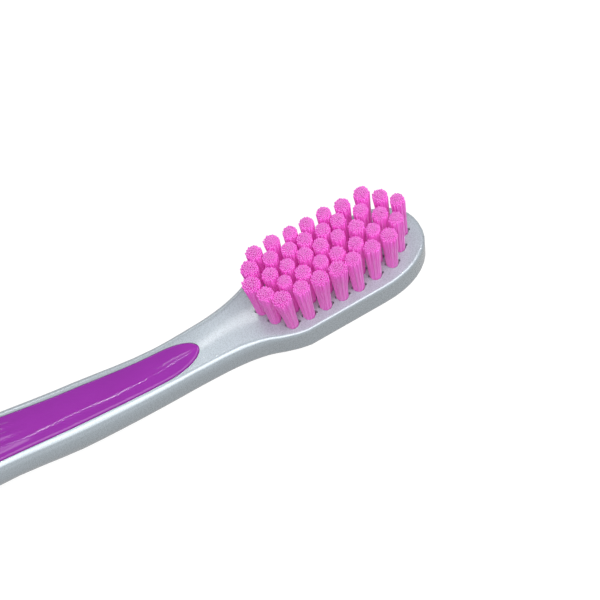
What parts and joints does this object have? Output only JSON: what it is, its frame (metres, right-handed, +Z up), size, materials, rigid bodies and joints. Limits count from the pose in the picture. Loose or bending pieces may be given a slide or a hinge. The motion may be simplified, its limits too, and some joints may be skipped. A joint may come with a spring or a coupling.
{
  "type": "manual toothbrush",
  "caption": "Manual toothbrush with a flat oval head, straight-trimmed bristle tufts and a slim rigid handle with a soft thumb inlay and finger pad.",
  "frame": {"origin": "middle of the bounding box at its bottom, which is the surface that the brush's back rests on", "axes": "+X along the brush towards the tip of the head, +Z up through the bristles, +Y across"},
  "size_m": [0.187, 0.012, 0.0141],
  "materials": {
    "silver_plastic": "pearl gloss",
    "purple_rubber": "gloss",
    "pink_filament": "satin",
    "anchor_metal": "satin"
  },
  "bodies": {
    "root": {"handle": "silver_plastic", "soft_grip": "purple_rubber", "anchors_a": "anchor_metal", "anchors_b": "anchor_metal", "anchors_c": "anchor_metal", "anchors_d": "anchor_metal", "anchors_e": "anchor_metal", "tuft_a1": "pink_filament", "tuft_a2": "pink_filament", "tuft_a3": "pink_filament", "tuft_a4": "pink_filament", "tuft_a5": "pink_filament", "tuft_a6": "pink_filament", "tuft_a7": "pink_filament", "tuft_b1": "pink_filament", "tuft_b2": "pink_filament", "tuft_b3": "pink_filament", "tuft_b4": "pink_filament", "tuft_b5": "pink_filament", "tuft_b6": "pink_filament", "tuft_b7": "pink_filament", "tuft_b8": "pink_filament", "tuft_c1": "pink_filament", "tuft_c2": "pink_filament", "tuft_c3": "pink_filament", "tuft_c4": "pink_filament", "tuft_c5": "pink_filament", "tuft_c6": "pink_filament", "tuft_c7": "pink_filament", "tuft_c8": "pink_filament", "tuft_c9": "pink_filament", "tuft_d1": "pink_filament", "tuft_d2": "pink_filament", "tuft_d3": "pink_filament", "tuft_d4": "pink_filament", "tuft_d5": "pink_filament", "tuft_d6": "pink_filament", "tuft_d7": "pink_filament", "tuft_d8": "pink_filament", "tuft_e1": "pink_filament", "tuft_e2": "pink_filament", "tuft_e3": "pink_filament", "tuft_e4": "pink_filament", "tuft_e5": "pink_filament", "tuft_e6": "pink_filament", "tuft_e7": "pink_filament"}
  },
  "joints": []
}
